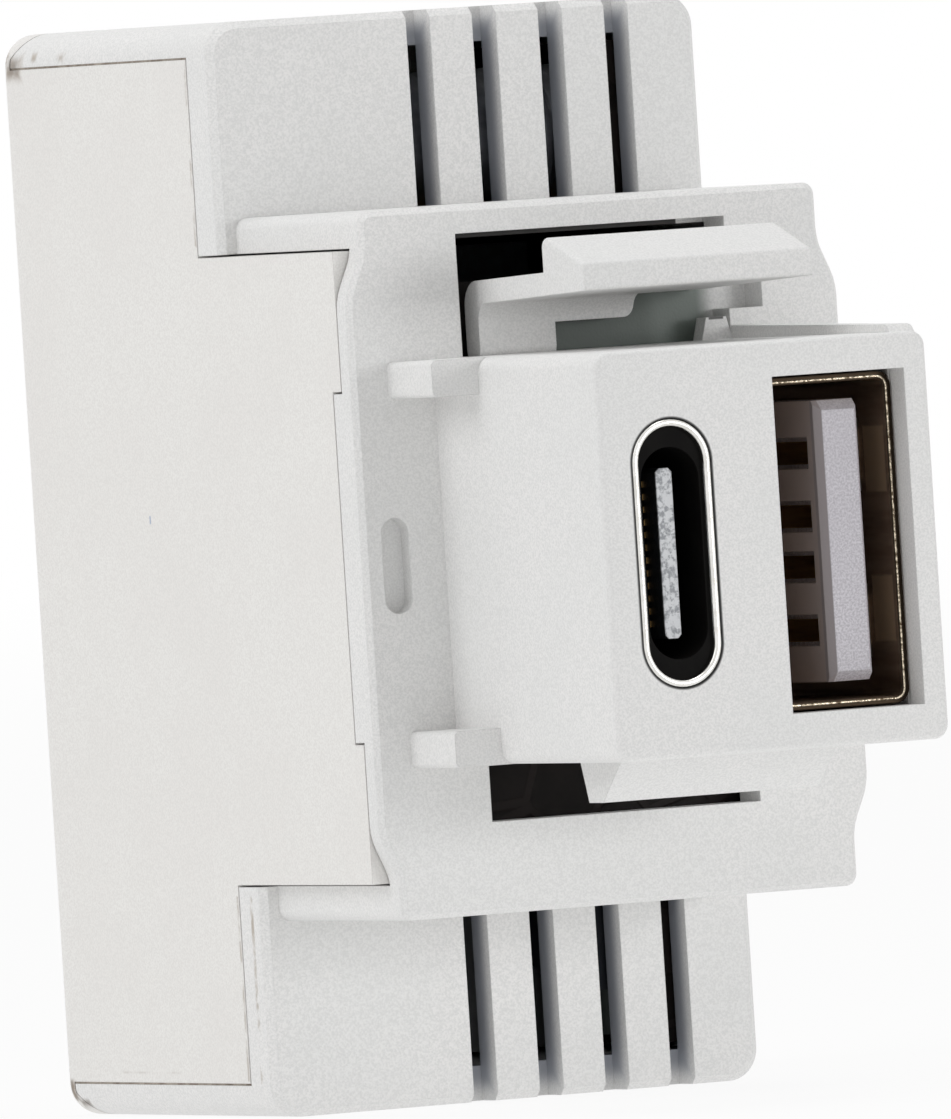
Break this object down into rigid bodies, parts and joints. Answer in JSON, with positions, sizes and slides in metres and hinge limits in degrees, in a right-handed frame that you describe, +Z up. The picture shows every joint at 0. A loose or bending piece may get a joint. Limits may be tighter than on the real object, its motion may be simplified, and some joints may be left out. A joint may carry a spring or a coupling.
{
  "type": "usb wall socket",
  "caption": "Snap-in mains charger module for a keystone opening, with one flat and one rounded charging port in its nose, a snap latch and push-in mains terminals.",
  "frame": {"origin": "on the axis of the nose, in the plane of the stop lugs' front faces that rest against the back of the panel", "axes": "-Y out of the front through the panel, +Y to the back, +Z up with the latch on top, +X right seen from the front"},
  "size_m": [0.022, 0.0446, 0.0438],
  "materials": {
    "white_moulding": "fine spark texture, cool white",
    "cover_moulding": "fine spark texture, slightly warm white",
    "receptacle_steel": "nickel plated, semi-bright",
    "pale_insulator": "satin",
    "gold_contact": "thin gold flash",
    "bright_rim": "polished",
    "black_insulator": "satin",
    "grey_tongue": "worn, speckled",
    "circuit_board": "solder mask, semi-gloss",
    "tinned_pin": "tin plated",
    "ferrite": "ground, dull",
    "yellow_tape": "polyester tape",
    "capacitor_sleeve": "dark shrink sleeve",
    "bare_can": "drawn can",
    "copper_wire": "enamelled copper",
    "component_green": "dipped coating",
    "component_blue": "dipped coating",
    "component_tan": "ceramic",
    "terminal_grey": "satin"
  },
  "bodies": {
    "module": {"housing": "white_moulding", "side_cover": "cover_moulding", "usb_a_shell": "receptacle_steel", "usb_a_tongue": "pale_insulator", "usb_a_contacts": "gold_contact", "usb_c_rim": "bright_rim", "usb_c_insert": "black_insulator", "usb_c_shell": "receptacle_steel", "usb_c_tongue": "grey_tongue", "usb_c_contacts": "gold_contact", "port_board": "circuit_board", "main_board": "circuit_board", "board_link_pins": "tinned_pin", "transformer_core": "ferrite", "transformer_bobbin": "black_insulator", "transformer_winding": "yellow_tape", "bulk_capacitor_1": "capacitor_sleeve", "bulk_capacitor_2": "capacitor_sleeve", "output_capacitor_1": "bare_can", "output_capacitor_2": "bare_can", "output_inductor_core": "ferrite", "output_inductor_winding": "copper_wire", "fuse_resistor": "component_green", "varistor": "component_blue", "bridge_rectifier": "black_insulator", "switching_chip": "black_insulator", "optocoupler": "black_insulator", "output_rectifier": "black_insulator", "port_control_chip": "black_insulator", "chip_components": "component_tan", "mains_terminal_body": "terminal_grey", "mains_clamps": "tinned_pin"},
    "latch": {"latch": "white_moulding"}
  },
  "joints": [
    {"name": "latch_flex", "type": "hinge", "parent": "module", "child": "latch", "pos_m": [0, 0.00468, 0.00833], "axis": [1, 0, 0], "range_deg": [0, 12], "stiffness_Nm_per_rad": 0.1}
  ]
}
